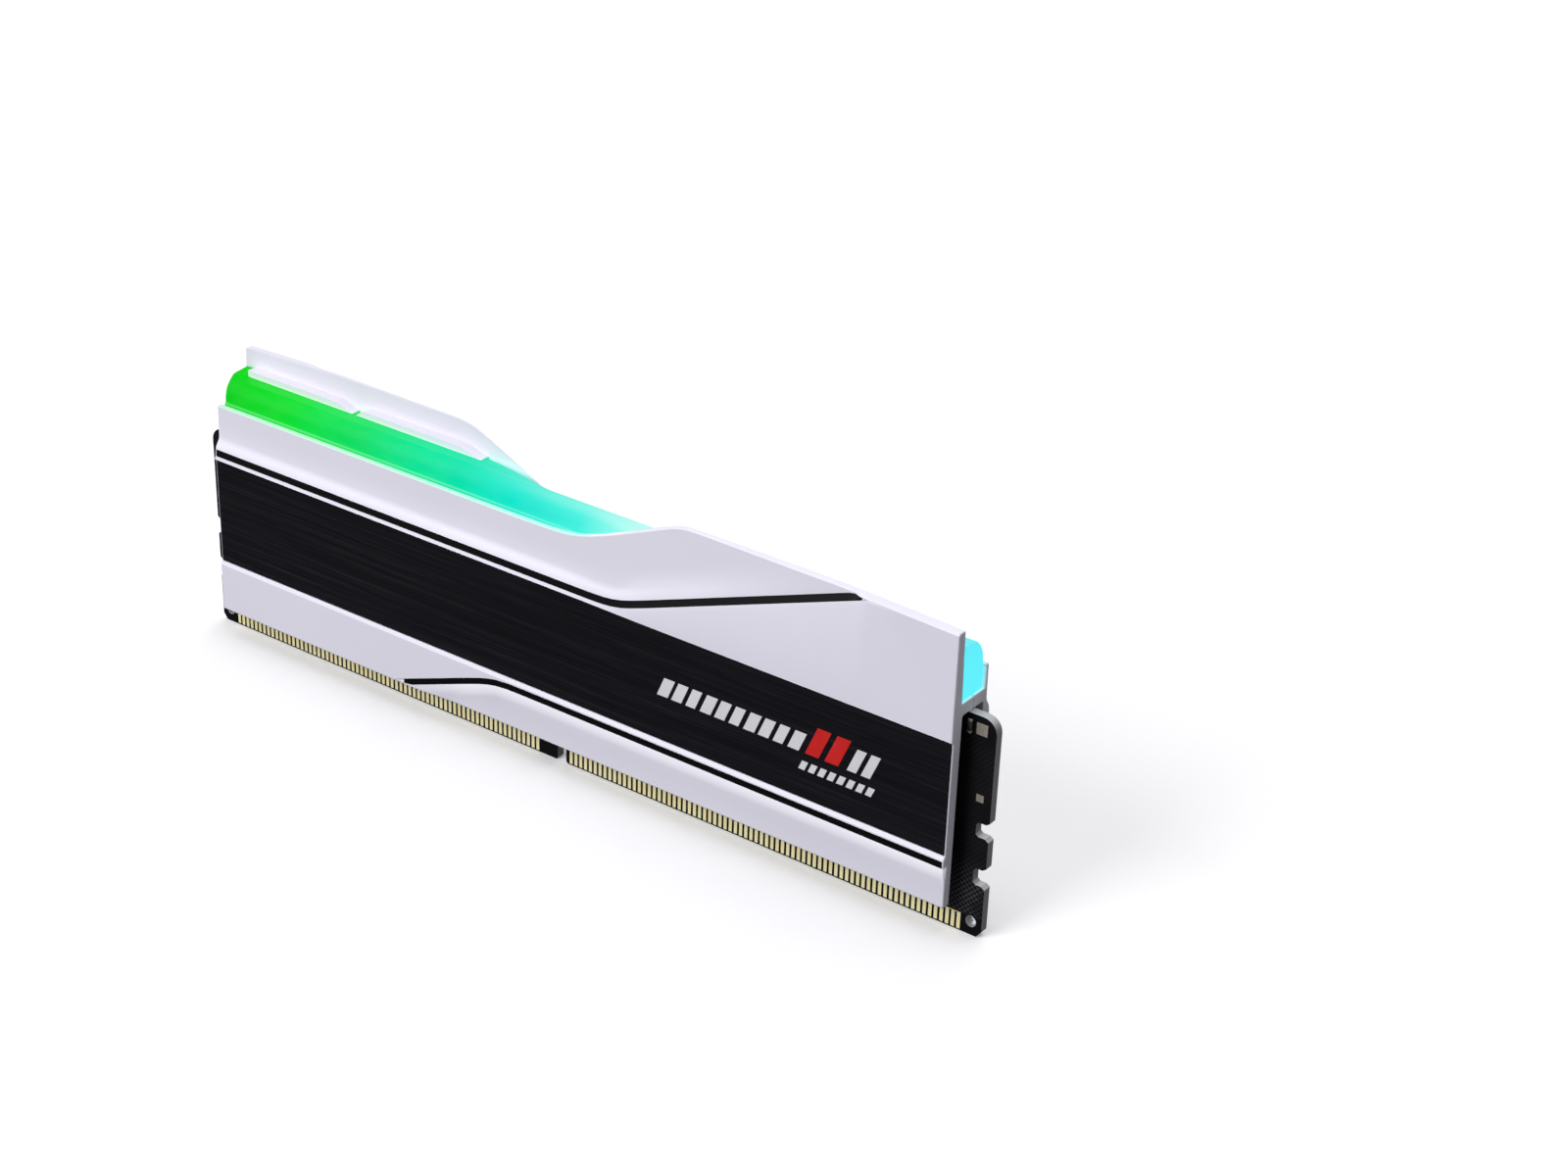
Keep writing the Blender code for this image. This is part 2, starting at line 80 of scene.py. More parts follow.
def dress(name, made, bevel=0.0, segments=2, limit=35.0):
    """Gives a CAD node its finish, and rounds its edges by bevel millimetres."""
    obj = NODES[name]
    obj.data.materials.clear()
    obj.data.materials.append(made)
    modifier = obj.modifiers.new("shading", "NODES")
    modifier.node_group = SHADING
    if bevel:
        modifier = obj.modifiers.new("edges", "BEVEL")
        modifier.width = bevel * MM
        modifier.segments = segments
        modifier.limit_method = "ANGLE"
        modifier.angle_limit = math.radians(limit)
        modifier.use_clamp_overlap = True
        modifier.harden_normals = True
        modifier.miter_outer = "MITER_ARC"
    return obj


def piece(name, bm, made, smooth=True):
    """One new piece from a bmesh given in millimetres."""
    bmesh.ops.recalc_face_normals(bm, faces=bm.faces[:])
    for vert in bm.verts:
        vert.co *= MM
    mesh = bpy.data.meshes.new(name)
    bm.to_mesh(mesh)
    bm.free()
    for polygon in mesh.polygons:
        polygon.use_smooth = smooth
    mesh.materials.append(made)
    obj = bpy.data.objects.new(name, mesh)
    bpy.context.scene.collection.objects.link(obj)
    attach(obj, "root")
    return obj


def slab(bm, outline, y_near, y_far, bevel=0.0):
    """Adds a flat body between two depths from an outline of (x, z) points."""
    verts = [bm.verts.new((x, y_near, z)) for x, z in outline]
    face = bm.faces.new(verts)
    made = bmesh.ops.extrude_face_region(bm, geom=[face])
    moved = [v for v in made["geom"] if isinstance(v, bmesh.types.BMVert)]
    bmesh.ops.translate(bm, verts=moved, vec=(0, y_far - y_near, 0))
    if bevel:
        edges = [e for e in bm.edges if all(v in verts for v in e.verts)]
        bmesh.ops.bevel(bm, geom=edges, offset=bevel, segments=2, profile=0.5, affect="EDGES")


def turned(points):
    return [(-x, z) for x, z in reversed(points)]


# ---------------------------------------------------------- material helpers

class Finish:
    """A material with its nodes and the few patterns the finishes share."""

    def __init__(self, name):
        self.made = bpy.data.materials.new(name)
        self.made.use_nodes = True
        self.nodes = self.made.node_tree.nodes
        self.links = self.made.node_tree.links
        self.nodes.clear()
        self.out = self.nodes.new("ShaderNodeOutputMaterial")
        self.shader = self.nodes.new("ShaderNodeBsdfPrincipled")
        self.links.new(self.shader.outputs[0], self.out.inputs["Surface"])
        self.place = self.nodes.new("ShaderNodeTexCoord")

    def set(self, **values):
        for key, value in values.items():
            self.shader.inputs[key.replace("_", " ")].default_value = value

    def link(self, source, socket):
        self.links.new(source, self.shader.inputs[socket])

    def axis(self, which):
        parts = self.nodes.new("ShaderNodeSeparateXYZ")
        self.links.new(self.place.outputs["Object"], parts.inputs[0])
        return parts.outputs[which]

    def facing(self, which):
        parts = self.nodes.new("ShaderNodeSeparateXYZ")
        self.links.new(self.place.outputs["Normal"], parts.inputs[0])
        return parts.outputs[which]

    def math(self, operation, a, b=None, clamp=False):
        node = self.nodes.new("ShaderNodeMath")
        node.operation = operation
        node.use_clamp = clamp
        for socket, value in zip(node.inputs, (a, b)):
            if value is None:
                continue
            if isinstance(value, (int, float)):
                socket.default_value = value
            else:
                self.links.new(value, socket)
        return node.outputs[0]

    def spread(self, value, low, high, to_low=0.0, to_high=1.0, smooth=True):
        node = self.nodes.new("ShaderNodeMapRange")
        node.interpolation_type = "SMOOTHSTEP" if smooth else "LINEAR"
        node.inputs["From Min"].default_value = low
        node.inputs["From Max"].default_value = high
        node.inputs["To Min"].default_value = to_low
        node.inputs["To Max"].default_value = to_high
        self.links.new(value, node.inputs["Value"])
        return node.outputs["Result"]

    def noise(self, per_metre, detail=3.0, stretch=(1.0, 1.0, 1.0), rough=0.5, shift=0.0):
        mapping = self.nodes.new("ShaderNodeMapping")
        mapping.inputs["Scale"].default_value = stretch
        mapping.inputs["Location"].default_value = (shift, shift, shift)
        self.links.new(self.place.outputs["Object"], mapping.inputs["Vector"])
        node = self.nodes.new("ShaderNodeTexNoise")
        node.inputs["Scale"].default_value = per_metre
        node.inputs["Detail"].default_value = detail
        node.inputs["Roughness"].default_value = rough
        self.links.new(mapping.outputs[0], node.inputs["Vector"])
        return node.outputs["Fac"]

    def ramp(self, value, stops):
        node = self.nodes.new("ShaderNodeValToRGB")
        elements = node.color_ramp.elements
        while len(elements) < len(stops):
            elements.new(0.5)
        for element, (position, colour) in zip(elements, stops):
            element.position = position
            element.color = (*colour, 1.0)
        self.links.new(value, node.inputs["Fac"])
        return node.outputs["Color"]

    def blend(self, factor, a, b, mode="MIX"):
        node = self.nodes.new("ShaderNodeMix")
        node.data_type = "RGBA"
        node.blend_type = mode
        for key, value in (("Factor", factor), ("A", a), ("B", b)):
            socket = next(s for s in node.inputs if s.name == key and s.enabled)
            if isinstance(value, tuple):
                socket.default_value = (*value, 1.0)
            elif isinstance(value, (int, float)):
                socket.default_value = value
            else:
                self.links.new(value, socket)
        return next(s for s in node.outputs if s.enabled)

    def bump(self, height, strength, depth_mm, after=None):
        node = self.nodes.new("ShaderNodeBump")
        node.inputs["Strength"].default_value = strength
        node.inputs["Distance"].default_value = depth_mm * MM
        self.links.new(height, node.inputs["Height"])
        if after is not None:
            self.links.new(after, node.inputs["Normal"])
        self.links.new(node.outputs[0], self.shader.inputs["Normal"])
        return node.outputs[0]


def srgb(r, g, b):
    def one(v):
        v /= 255.0
        return v / 12.92 if v <= 0.04045 else ((v + 0.055) / 1.055) ** 2.4
    return (one(r), one(g), one(b))


# ------------------------------------------------------------------ finishes

BAR_LOW, BAR_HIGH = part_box("light_bar")
HUES = [
    (0.00, srgb(0, 214, 22)),
    (0.10, srgb(0, 224, 48)),
    (0.20, srgb(0, 228, 100)),
    (0.34, srgb(0, 232, 172)),
    (0.43, srgb(0, 238, 212)),
    (0.52, srgb(66, 244, 226)),
    (0.60, srgb(165, 248, 236)),
    (0.68, srgb(150, 246, 238)),
    (0.84, srgb(105, 245, 250)),
    (1.00, srgb(96, 242, 254)),
]


def bar_hue(f):
    """The colour along the light bar, from its left end to its right."""
    along = f.spread(f.axis("X"), BAR_LOW.x, BAR_HIGH.x, 0.0, 1.0, smooth=False)
    return along, f.ramp(along, HUES)


def band(f, value, low, high, soft):
    """1 between low and high, 0 outside."""
    rise = f.spread(value, low - soft, low + soft)
    fall = f.spread(value, high - soft, high + soft, 1.0, 0.0)
    return f.math("MULTIPLY", rise, fall)


def white_paint():
    """Fine-textured white lacquer on pressed aluminium. Beside the light bar the bar's light is painted in as a tint
    and as emission, the top of the high wall has painted shade, and painted highlights are emitted beside the accent
    lines."""
    f = Finish("spreader_white_lacquer")
    grain = f.noise(5200, 2.0)
    cloud = f.noise(55, 3.0)
    colour = f.ramp(cloud, [(0.3, (0.845, 0.832, 0.925)), (0.7, (0.870, 0.857, 0.945))])
    speck = f.spread(grain, 0.3, 0.7, 0.0, 1.0)
    colour = f.blend(f.math("MULTIPLY", speck, 0.10), colour, (0.93, 0.92, 0.97))
    f.link(f.spread(grain, 0.3, 0.7, 0.40, 0.50), "Roughness")
    f.bump(grain, 0.10, 0.012)
    f.set(Specular_IOR_Level=0.42)
    hue = bar_hue(f)[1]
    depth = f.math("ABSOLUTE", f.axis("Y"))
    z = f.axis("Z")
    up = f.spread(f.facing("Z"), 0.2, 0.8)
    # painted light: the low wall's lip is tinted with the bar's colour, and the bar's channel is made to shine by
    # emission
    lip = f.math("MULTIPLY", f.math("MULTIPLY", up, band(f, z, 0.0355, 0.0376, 0.0003)), f.spread(depth, 0.0036, 0.0031))
    painted_bar_tint = f.blend(0.22, (0.60, 0.97, 0.80), hue)
    colour = f.blend(f.math("MULTIPLY", lip, 0.85), colour, painted_bar_tint)
    shade = f.math("MULTIPLY", f.math("MULTIPLY", up, f.spread(z, 0.0395, 0.0400)), 0.10)
    colour = f.blend(shade, colour, (0.0, 0.0, 0.0))
    f.link(colour, "Base Color")
    # painted light: emission in the bar's channel and on the high wall beside the bar
    channel = f.math("MULTIPLY", f.spread(depth, 0.00275, 0.00255), band(f, z, 0.0331, 0.0363, 0.0002))
    wall = f.math("MULTIPLY", f.spread(depth, 0.00325, 0.0031), f.spread(z, 0.0407, 0.0398))
    wall = f.math("MULTIPLY", wall, f.spread(z, 0.0388, 0.0394))
    painted_bar_glow = f.math("ADD", f.math("MULTIPLY", channel, 0.30), f.math("MULTIPLY", wall, 0.09))
    # painted highlight: emission on the shaped faces just below and above the accent lines stands in for the light
    # they catch
    along = f.math("MULTIPLY", f.math("MULTIPLY", f.axis("X"), f.math("SIGN", f.axis("Y"))), -1.0)
    outer = f.spread(depth, 0.0034, 0.0036)
    fall = f.math("MULTIPLY", f.math("MAXIMUM", f.math("SUBTRACT", -0.01035, along), 0.0), 0.371)
    painted_light_below_line = f.math("SUBTRACT", f.math("SUBTRACT", 0.01049, fall), z)
    painted_light_below_line = f.math("MULTIPLY", f.spread(painted_light_below_line, -0.0001, 0.0), f.spread(painted_light_below_line, 0.0032, 0.0002))
    painted_light_below_line = f.math("MULTIPLY", painted_light_below_line, f.spread(along, -0.028, -0.014))
    rise = f.math("MULTIPLY", f.math("MAXIMUM", f.math("SUBTRACT", along, 0.01035), 0.0), 0.371)
    painted_light_above_line = f.math("SUBTRACT", z, f.math("ADD", rise, 0.02996))
    painted_light_above_line = f.math("MULTIPLY", f.spread(painted_light_above_line, -0.0001, 0.0), f.spread(painted_light_above_line, 0.0050, 0.0004))
    painted_light_above_line = f.math("MULTIPLY", painted_light_above_line, f.math("MULTIPLY", f.spread(along, 0.004, 0.014), f.spread(along, 0.044, 0.020)))
    painted_line_highlight = f.math("ADD", f.math("MULTIPLY", painted_light_below_line, 0.30), f.math("MULTIPLY", painted_light_above_line, 0.10))
    painted_line_highlight = f.math("MULTIPLY", painted_line_highlight, outer)
    f.link(f.math("ADD", painted_bar_glow, painted_line_highlight), "Emission Strength")
    f.link(f.blend(outer, f.blend(0.4, hue, (1.0, 1.0, 1.0)), (0.96, 0.95, 1.0)), "Emission Color")
    return f.made


def brushed_black():
    """Black anodised aluminium, brushed along the module."""
    f = Finish("insert_brushed_black")
    fine = f.noise(1.0, 3.0, (70, 2600, 9000), 0.6)
    broad = f.noise(1.0, 4.0, (26, 900, 2400), 0.62, 3.0)
    streak = f.math("ADD", f.math("MULTIPLY", fine, 0.55), f.math("MULTIPLY", broad, 0.45))
    colour = f.ramp(
        streak,
        [(0.28, (0.0056, 0.0053, 0.0076)), (0.50, (0.0150, 0.0144, 0.0186)), (0.62, (0.0300, 0.0292, 0.0345)), (0.78, (0.0760, 0.0740, 0.0820))],
    )
    f.link(colour, "Base Color")
    f.set(Metallic=0.55, Specular_IOR_Level=0.22, Anisotropic=0.4)
    f.link(f.spread(streak, 0.3, 0.7, 0.52, 0.36), "Roughness")
    f.bump(streak, 0.22, 0.012)
    return f.made


def accent_black():
    """Gloss black painted line in its groove."""
    f = Finish("accent_black_paint")
    grain = f.noise(3800, 2.0)
    f.link(f.ramp(grain, [(0.3, (0.0008, 0.0008, 0.001)), (0.7, (0.0025, 0.0025, 0.003))]), "Base Color")
    f.link(f.spread(grain, 0.3, 0.7, 0.42, 0.55), "Roughness")
    f.set(Specular_IOR_Level=0.16)
    f.bump(grain, 0.08, 0.01)
    return f.made


def lit_plastic():
    """Frosted diffuser lit from inside, its colour running along the module, with painted highlights on its stepped
    face, its top and its end faces.
    """
    f = Finish("light_bar_diffuser")
    along, hue = bar_hue(f)
    haze = f.noise(900, 3.0, (0.35, 1.0, 1.0))
    clouds = f.noise(70, 2.0)
    z = f.axis("Z")
    # painted highlight: a pale band along the bar's stepped face
    painted_step_highlight = f.math("MULTIPLY", band(f, z, 0.03656, 0.03674, 0.00004), f.spread(f.math("ABSOLUTE", f.facing("X")), 0.5, 0.2))
    # painted highlight: the bar's top is paler along the middle of its length
    painted_crown_highlight = f.spread(z, 0.0388, 0.0399, 0.0, 1.0)
    middle = f.math("MULTIPLY", f.spread(along, 0.34, 0.56), f.spread(along, 0.78, 0.62))
    pale = f.math("MULTIPLY", painted_crown_highlight, middle)
    hue_lit = f.blend(f.math("MULTIPLY", painted_step_highlight, 0.22), hue, (0.55, 1.0, 0.80))
    hue_lit = f.blend(f.math("MULTIPLY", pale, 0.22), hue_lit, (0.85, 1.0, 0.95))
    hue_lit = f.blend(f.spread(haze, 0.25, 0.8, 0.0, 0.012), hue_lit, (1.0, 1.0, 1.0))
    f.link(f.blend(1.0, hue_lit, (0.30, 0.30, 0.30), "MULTIPLY"), "Base Color")
    f.link(hue_lit, "Emission Color")
    # painted light: the bar's end faces are made brighter by extra emission
    end = f.spread(f.math("ABSOLUTE", f.facing("X")), 0.5, 0.9, 0.0, 0.24)
    f.link(f.math("ADD", end, f.spread(clouds, 0.3, 0.7, 0.63, 0.69)), "Emission Strength")
    f.link(f.spread(haze, 0.3, 0.7, 0.38, 0.50), "Roughness")
    f.set(Specular_IOR_Level=0.10)
    f.bump(haze, 0.06, 0.02)
    return f.made


def board():
    """Black solder mask with the hatched copper plane showing through, and raw
    glass-fibre edges."""
    f = Finish("circuit_board_black")
    x, z = f.axis("X"), f.axis("Z")
    pitch = 2 * math.pi / 0.00078
    rise = f.math("SINE", f.math("MULTIPLY", f.math("ADD", x, z), pitch))
    fall = f.math("SINE", f.math("MULTIPLY", f.math("SUBTRACT", x, z), pitch))
    lines = f.math("MAXIMUM", f.spread(rise, 0.72, 0.98), f.spread(fall, 0.72, 0.98))
    patch = f.noise(260, 2.0)
    low = f.math("MULTIPLY", f.spread(z, 0.0120, 0.0050, 0.10, 1.0), f.spread(z, 0.0027, 0.0029))
    hatch = f.math("MULTIPLY", f.math("MULTIPLY", lines, low), f.spread(patch, 0.32, 0.55, 0.25, 1.0))
    mask = f.blend(f.math("MULTIPLY", hatch, 0.85), (0.0038, 0.0033, 0.0048), (0.115, 0.109, 0.119))
    fibre = f.noise(1.0, 3.0, (2500, 9000, 2500))
    layers = f.math("SINE", f.math("MULTIPLY", f.axis("Y"), 2 * math.pi / 0.00021))
    raw = f.blend(f.spread(layers, -1, 1, 0.0, 0.35), (0.250, 0.246, 0.256), (0.42, 0.412, 0.400))
    raw = f.blend(f.spread(fibre, 0.35, 0.7, 0.0, 0.4), raw, (0.55, 0.55, 0.54))
    # painted highlight: the card's up-facing raw edge is lightened
    up = f.spread(f.facing("Z"), 0.4, 0.9)
    raw = f.blend(f.math("MULTIPLY", up, 0.6), raw, (0.70, 0.70, 0.69))
    flat = f.math("ABSOLUTE", f.facing("Y"))
    edge = f.spread(flat, 0.35, 0.75, 1.0, 0.0)
    f.link(f.blend(edge, mask, raw), "Base Color")
    gloss = f.spread(patch, 0.3, 0.7, 0.34, 0.46)
    f.link(f.math("ADD", gloss, f.math("MULTIPLY", edge, 0.25)), "Roughness")
    f.set(Specular_IOR_Level=0.22)
    f.bump(f.math("ADD", hatch, f.math("MULTIPLY", fibre, 0.2)), 0.35, 0.02)
    return f.made


def gold(name="contact_gold", tint=(1.0, 0.93, 0.56)):
    """Hard gold plating with faint lengthwise insertion marks."""
    f = Finish(name)
    marks = f.noise(1.0, 3.0, (9000, 2000, 500), 0.6)
    tone = f.noise(400, 2.0)
    warm = tuple(v * w for v, w in zip(tint, (0.93, 0.90, 0.78)))
    colour = f.ramp(tone, [(0.3, warm), (0.7, tint)])
    colour = f.blend(f.spread(marks, 0.55, 0.8, 0.0, 0.35), colour, (1.0, 0.96, 0.74))
    f.link(colour, "Base Color")
    # painted light: a faint emission in the plating's own colour brightens the contacts
    f.link(colour, "Emission Color")
    f.set(Metallic=0.06, Specular_IOR_Level=0.6, Emission_Strength=0.10)
    f.link(f.spread(marks, 0.3, 0.7, 0.24, 0.40), "Roughness")
    f.bump(marks, 0.12, 0.01)
    return f.made


def grainy(name, dark, light, rough, per_metre, metallic=0.0, bump=0.2, depth=0.02, specular=0.5):
    """Moulded or pressed surface with grain in its colour, gloss and relief."""
    f = Finish(name)
    grain = f.noise(per_metre, 4.0)
    drift = f.noise(per_metre / 18.0, 2.0, shift=5.0)
    mixed = f.math("ADD", f.math("MULTIPLY", grain, 0.6), f.math("MULTIPLY", drift, 0.4))
    f.link(f.ramp(mixed, [(0.32, dark), (0.68, light)]), "Base Color")
    f.link(f.spread(mixed, 0.3, 0.7, rough[0], rough[1]), "Roughness")
    f.set(Metallic=metallic, Specular_IOR_Level=specular)
    f.bump(grain, bump, depth)
    return f.made


WHITE = white_paint()
INSERT = brushed_black()
ACCENT = accent_black()
BAR = lit_plastic()
BOARD = board()
GOLD = gold()
EPOXY = grainy("package_epoxy", (0.010, 0.010, 0.011), (0.028, 0.028, 0.030), (0.5, 0.7), 9000)
FERRITE = grainy("inductor_ferrite", (0.06, 0.06, 0.065), (0.13, 0.13, 0.135), (0.5, 0.75), 7000)
CERAMIC = grainy("capacitor_ceramic", (0.30, 0.20, 0.12), (0.46, 0.33, 0.22), (0.35, 0.55), 6000)
LED = grainy("led_lens", (0.70, 0.74, 0.70), (0.88, 0.90, 0.86), (0.2, 0.35), 5000, bump=0.05)
PAD = grainy("thermal_pad_grey", (0.27, 0.32, 0.37), (0.40, 0.45, 0.50), (0.75, 0.95), 3500)
FOAM = grainy("foam_black", (0.012, 0.012, 0.012), (0.045, 0.045, 0.045), (0.85, 1.0), 3000, bump=0.8, depth=0.1)
PRINT_WHITE = grainy("print_white", (0.74, 0.74, 0.76), (0.86, 0.86, 0.88), (0.45, 0.6), 6000, bump=0.05)
PRINT_RED = grainy("print_red", (0.60, 0.010, 0.008), (0.74, 0.020, 0.016), (0.4, 0.55), 6000, bump=0.05)
TIN = grainy("test_land_tin", (0.40, 0.36, 0.29), (0.62, 0.57, 0.48), (0.3, 0.5), 5000, metallic=0.5)
SLEEVE = grainy("hole_plating", (0.36, 0.36, 0.37), (0.62, 0.62, 0.63), (0.25, 0.4), 5000, metallic=0.6)
CHIP_BODY = grainy("chip_body_grey", (0.035, 0.033, 0.032), (0.075, 0.072, 0.07), (0.5, 0.7), 6000)

dress("circuit_board", BOARD, 0.05)
for face in ("front", "rear"):
    for side in ("left", "right"):
        dress(f"contacts_{face}_{side}", GOLD)
    dress(f"{face}_heat_spreader", WHITE)
    dress(f"{face}_insert", INSERT)
    dress(f"{face}_accent_upper", ACCENT)
    dress(f"{face}_accent_lower", ACCENT)
for i in range(8):
    dress(f"dram_chip_{i + 1}", EPOXY)
for name in ("power_management_chip", "spd_hub_chip", "light_controller_chip"):
    dress(name, EPOXY)
for i in range(3):
    dress(f"power_inductor_{i + 1}", FERRITE)
for i in range(4):
    dress(f"bulk_capacitor_{i + 1}", CERAMIC)
for i in range(10):
    dress(f"rgb_led_{i + 1}", LED)
for name in ("dram_thermal_pad_left", "dram_thermal_pad_right", "power_thermal_pad"):
    dress(name, PAD)
dress("rear_foam_pad", FOAM)
dress("light_bar", BAR, 0.22, 3, 50.0)


# ------------------------------------------------------------- small details

def slanted(x0, x1, z0, z1, lean=0.42):
    """A bar that leans to the right, as (x, z) points."""
    shift = lean * (z1 - z0)
    return [(x0, z0), (x1, z0), (x1 + shift, z1), (x0 + shift, z1)]


def graphic(face):
    """Printed stripe graphic on an insert: white bars, two taller red ones and a
    row of short dashes."""
    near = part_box(f"{face}_insert")[0].y / MM if face == "front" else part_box(f"{face}_insert")[1].y / MM
    out = -1 if face == "front" else 1
    place = (lambda points: points) if face == "front" else turned
    white = bmesh.new()
    x = 17.6
    for i in range(10):
        width = 1.75 - 0.1 * (i % 3)
        slab(white, place(slanted(x, x + width, 18.9, 21.7)), near, near + out * 0.02)
        x += 2.32
    slab(white, place(slanted(47.6, 49.0, 18.9, 22.4)), near, near + out * 0.02)
    slab(white, place(slanted(49.7, 51.1, 18.9, 22.4)), near, near + out * 0.02)
    for i in range(8):
        x = 40.3 + 1.45 * i
        slab(white, place(slanted(x, x + 0.95, 16.4, 17.7)), near, near + out * 0.02)
    piece(f"{face}_graphic_white", white, PRINT_WHITE, smooth=False)
    red = bmesh.new()
    slab(red, place(slanted(41.2, 43.3, 18.9, 23.2)), near, near + out * 0.02)
    slab(red, place(slanted(44.2, 46.3, 18.9, 23.2)), near, near + out * 0.02)
    piece(f"{face}_graphic_red", red, PRINT_RED, smooth=False)


def rounded(x0, x1, z0, z1, r=0.15, steps=4):
    points = []
    for cx, cz, start in ((x1 - r, z1 - r, 0), (x0 + r, z1 - r, 90), (x0 + r, z0 + r, 180), (x1 - r, z0 + r, 270)):
        for i in range(steps + 1):
            a = math.radians(start + 90 * i / steps)
            points.append((cx + r * math.cos(a), cz + r * math.sin(a)))
    return points


def lands():
    """Bare test lands on both faces of the card's exposed ends."""
    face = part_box("circuit_board")[0].y / MM
    for name, x0, x1, z0, z1 in (
        ("test_land_upper", 63.8, 65.4, 28.65, 30.3),
        ("test_land_lower", 64.5, 65.55, 19.4, 20.45),
    ):
        bm = bmesh.new()
        slab(bm, rounded(x0, x1, z0, z1, 0.08), face, face - 0.035)
        piece(name + "_front", bm, TIN, smooth=False)
        bm = bmesh.new()
        slab(bm, turned(rounded(x0, x1, z0, z1, 0.08)), -face, -face + 0.035)
        piece(name + "_rear", bm, TIN, smooth=False)


def chip(name, x, z, side):
    """A small upright two-ended chip part beside the shell's end."""
    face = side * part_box("circuit_board")[1].y / MM
    half, tall, deep = 0.27, 0.95, 0.34
    for part, z0, z1, made in (
        ("body", z - tall + 0.3, z + tall - 0.3, CHIP_BODY),
        ("end_low", z - tall, z - tall + 0.3, TIN),
        ("end_high", z + tall - 0.3, z + tall, TIN),
    ):
        bm = bmesh.new()
        slab(bm, rounded(x - half, x + half, z0, z1, 0.06), face, face + side * deep, 0.03)
        piece(f"{name}_{part}", bm, made)


def sleeve(name, x):
    """Plated wall of a corner hole."""
    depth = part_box("circuit_board")[1].y / MM
    bm = bmesh.new()
    rings = []
    for radius, y in ((0.79, -depth), (0.79, depth), (0.72, depth), (0.72, -depth)):
        ring = []
        for i in range(40):
            a = 2 * math.pi * i / 40
            ring.append(bm.verts.new((x + radius * math.cos(a), y, 1.95 + radius * math.sin(a))))
        rings.append(ring)
    for ring, after in zip(rings, rings[1:] + rings[:1]):
        for i in range(40):
            j = (i + 1) % 40
            bm.faces.new((ring[i], ring[j], after[j], after[i]))
    obj = piece(name, bm, SLEEVE)
    edge = obj.modifiers.new("edges", "BEVEL")
    edge.width = 0.015 * MM
    edge.segments = 2


for face in ("front", "rear"):
    graphic(face)
lands()
chip("end_chip_front", 62.95, 29.5, -1)
chip("end_chip_rear", -62.95, 29.5, 1)
sleeve("hole_sleeve_right", 65.1)
sleeve("hole_sleeve_left", -65.1)


# ------------------------------------------------------- floor, light, camera

def floor():
    bm = bmesh.new()
    ring = [bm.verts.new((4.0 * math.cos(a), 4.0 * math.sin(a), 0.0)) for a in [2 * math.pi * i / 64 for i in range(64)]]
    bm.faces.new(ring)
    mesh = bpy.data.meshes.new("studio_floor")
    bm.to_mesh(mesh)
    bm.free()
    f = Finish("studio_floor")
    cloud = f.noise(6, 2.0)
    pale = f.ramp(cloud, [(0.3, (0.86, 0.86, 0.86)), (0.7, (0.88, 0.88, 0.88))])
    f.link(pale, "Base Color")
    # painted light: the floor emits light, faintly near the module and nearly white far from it
    f.link(pale, "Emission Color")
    x, y = f.axis("X"), f.axis("Y")
    away = f.math("SQRT", f.math("ADD", f.math("MULTIPLY", x, x), f.math("MULTIPLY", y, y)))
    f.link(f.spread(away, 0.25, 1.3, 0.22, 0.95), "Emission Strength")
    f.set(Roughness=0.9, Specular_IOR_Level=0.1)
    mesh.materials.append(f.made)
    obj = bpy.data.objects.new("studio_floor", mesh)
    obj.location.z = -0.00004
    bpy.context.scene.collection.objects.link(obj)
    obj.visible_diffuse = False
    obj.visible_glossy = False


def backdrop():
    """Pale dome behind everything that only the camera sees."""
    bm = bmesh.new()
    rings = []
    for j in range(13):
        e = math.radians(-4 + 94 * j / 12)
        rings.append([bm.verts.new((4.0 * math.cos(e) * math.cos(a), 4.0 * math.cos(e) * math.sin(a), 4.0 * math.sin(e))) for a in [2 * math.pi * i / 64 for i in range(64)]] if j < 12 else [bm.verts.new((0, 0, 4.0))] * 64)
    for ring, after in zip(rings, rings[1:]):
        for i in range(64):
            j = (i + 1) % 64
            corners = [ring[j], ring[i], after[i], after[j]]
            bm.faces.new(corners if after[i] is not after[j] else corners[:3])
    mesh = bpy.data.meshes.new("studio_backdrop")
    bm.to_mesh(mesh)
    bm.free()
    f = Finish("studio_backdrop")
    cloud = f.noise(0.5, 2.0)
    f.link(f.ramp(cloud, [(0.3, (0.93, 0.93, 0.94)), (0.7, (0.96, 0.96, 0.965))]), "Emission Color")
    f.set(Base_Color=(0, 0, 0, 1), Emission_Strength=1.0, Specular_IOR_Level=0.0, Roughness=1.0)
    f.made.cycles.emission_sampling = "NONE"
    mesh.materials.append(f.made)
    obj = bpy.data.objects.new("studio_backdrop", mesh)
    bpy.context.scene.collection.objects.link(obj)
    obj.visible_diffuse = False
    obj.visible_glossy = False
    obj.visible_transmission = False
    obj.visible_shadow = False


def lamp(name, place, aim, size, power, colour=(1.0, 1.0, 1.0)):
    data = bpy.data.lights.new(name, "AREA")
    data.shape = "RECTANGLE"
    data.size, data.size_y = size
    data.energy = power
    data.color = colour
    obj = bpy.data.objects.new(name, data)
    obj.location = place
    obj.rotation_mode = "QUATERNION"
    obj.rotation_quaternion = (Vector(aim) - Vector(place)).to_track_quat("-Z", "Y")
    bpy.context.scene.collection.objects.link(obj)
    return obj


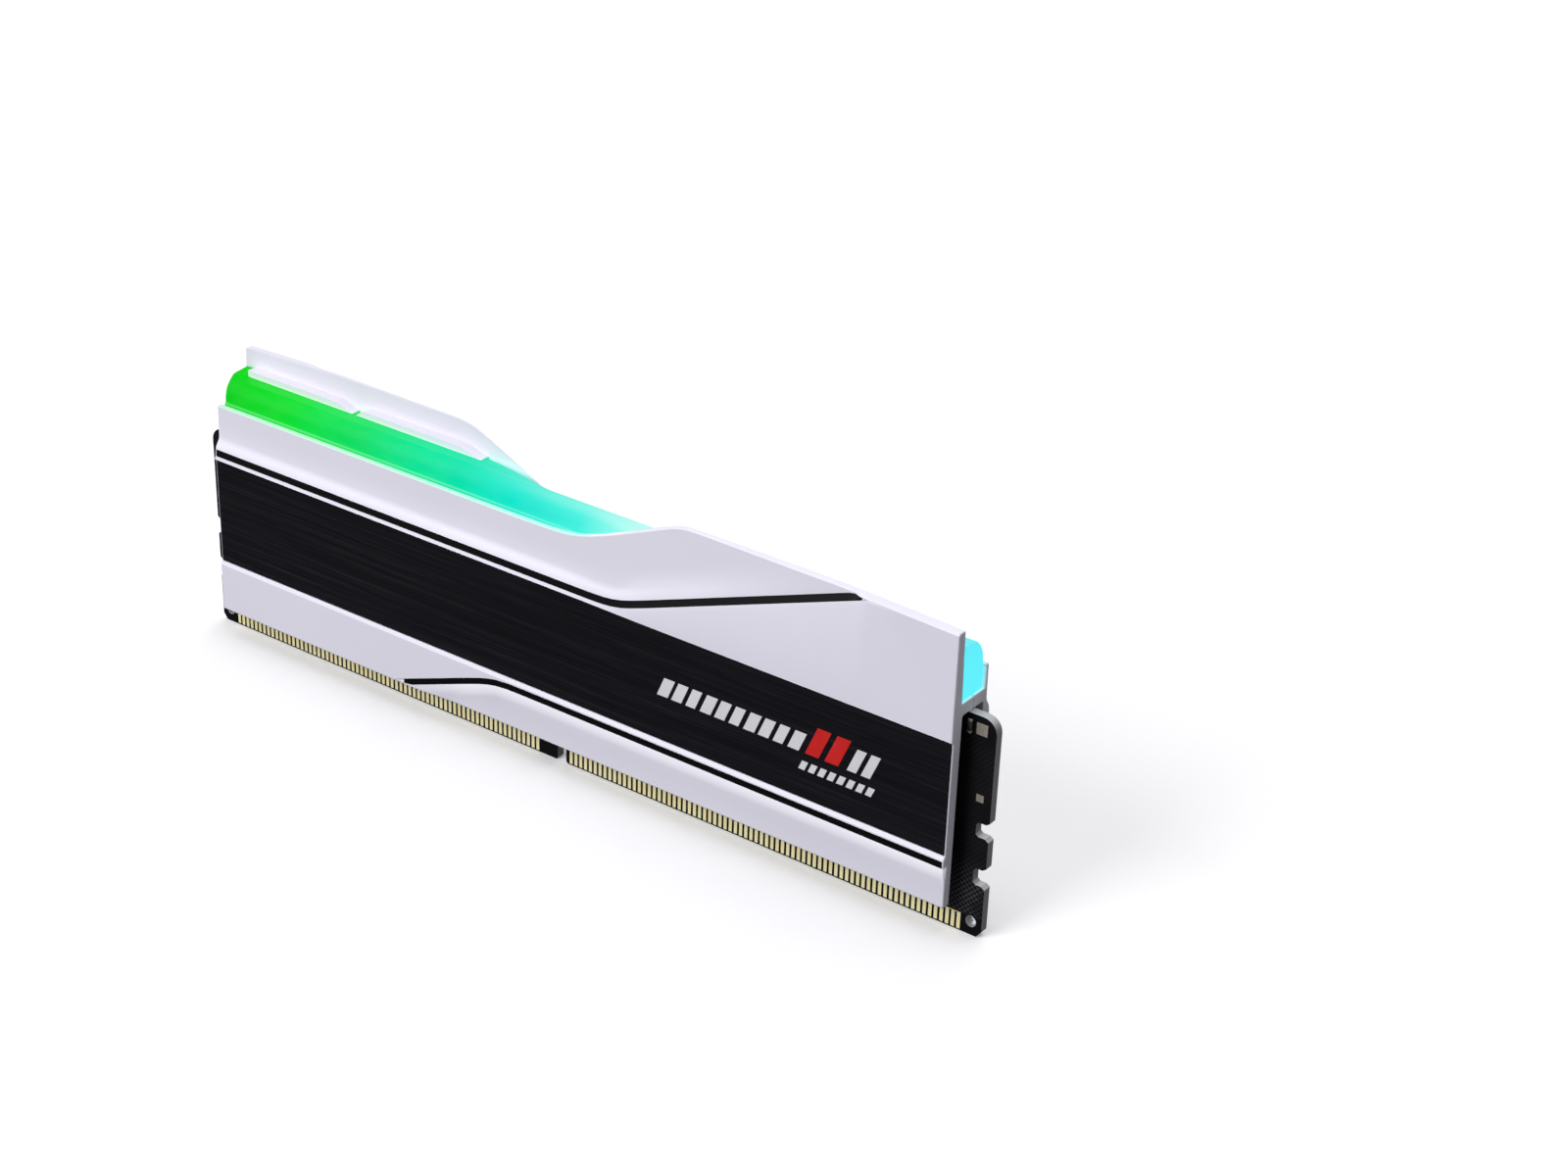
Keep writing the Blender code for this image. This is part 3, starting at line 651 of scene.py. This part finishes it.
def studio():
    world = bpy.data.worlds.new("studio")
    bpy.context.scene.world = world
    world.use_nodes = True
    nodes, links = world.node_tree.nodes, world.node_tree.links
    nodes.clear()
    out = nodes.new("ShaderNodeOutputWorld")
    back = nodes.new("ShaderNodeBackground")
    place = nodes.new("ShaderNodeTexCoord")
    parts = nodes.new("ShaderNodeSeparateXYZ")
    rise = nodes.new("ShaderNodeMapRange")
    rise.interpolation_type = "SMOOTHSTEP"
    rise.inputs["From Min"].default_value = -0.35
    rise.inputs["From Max"].default_value = 0.25
    ramp = nodes.new("ShaderNodeValToRGB")
    ramp.color_ramp.elements[0].color = (0.30, 0.30, 0.32, 1.0)
    ramp.color_ramp.elements[1].color = (0.92, 0.92, 0.93, 1.0)
    links.new(place.outputs["Generated"], parts.inputs[0])
    links.new(parts.outputs["Z"], rise.inputs["Value"])
    links.new(rise.outputs["Result"], ramp.inputs["Fac"])
    links.new(ramp.outputs["Color"], back.inputs["Color"])
    back.inputs["Strength"].default_value = 0.30
    links.new(back.outputs[0], out.inputs["Surface"])
    lamp("key_front", (-0.35, -0.95, 0.62), (0, 0, 0.02), (0.7, 0.7), 10.6, (0.970, 0.960, 1.0))
    lamp("top", (0.0, 0.10, 1.0), (0, 0, 0.0), (1.0, 1.0), 5.5, (0.970, 0.960, 1.0))
    lamp("fill_rear", (-0.30, 1.05, 0.42), (0, 0, 0.02), (0.7, 0.7), 3.6, (0.970, 0.960, 1.0))


def camera():
    data = bpy.data.cameras.new("camera")
    obj = bpy.data.objects.new("camera", data)
    bpy.context.scene.collection.objects.link(obj)
    right = Vector((0.809618, 0.585903, 0.035159))
    down = Vector((0.295756, -0.355478, -0.886659))
    ahead = Vector((-0.506998, 0.728254, -0.461085))
    turn = Matrix((right, -down, -ahead)).transposed().to_4x4()
    obj.matrix_world = Matrix.Translation((0.210747, -0.253518, 0.198877)) @ turn
    data.sensor_width = 36.0
    data.lens = 2850.1 * 36.0 / 1600.0
    data.clip_start = 0.01
    data.clip_end = 20.0
    bpy.context.scene.camera = obj


floor()
backdrop()
studio()
camera()
bpy.context.scene.view_settings.view_transform = "Standard"
bpy.context.scene.view_settings.look = "None"
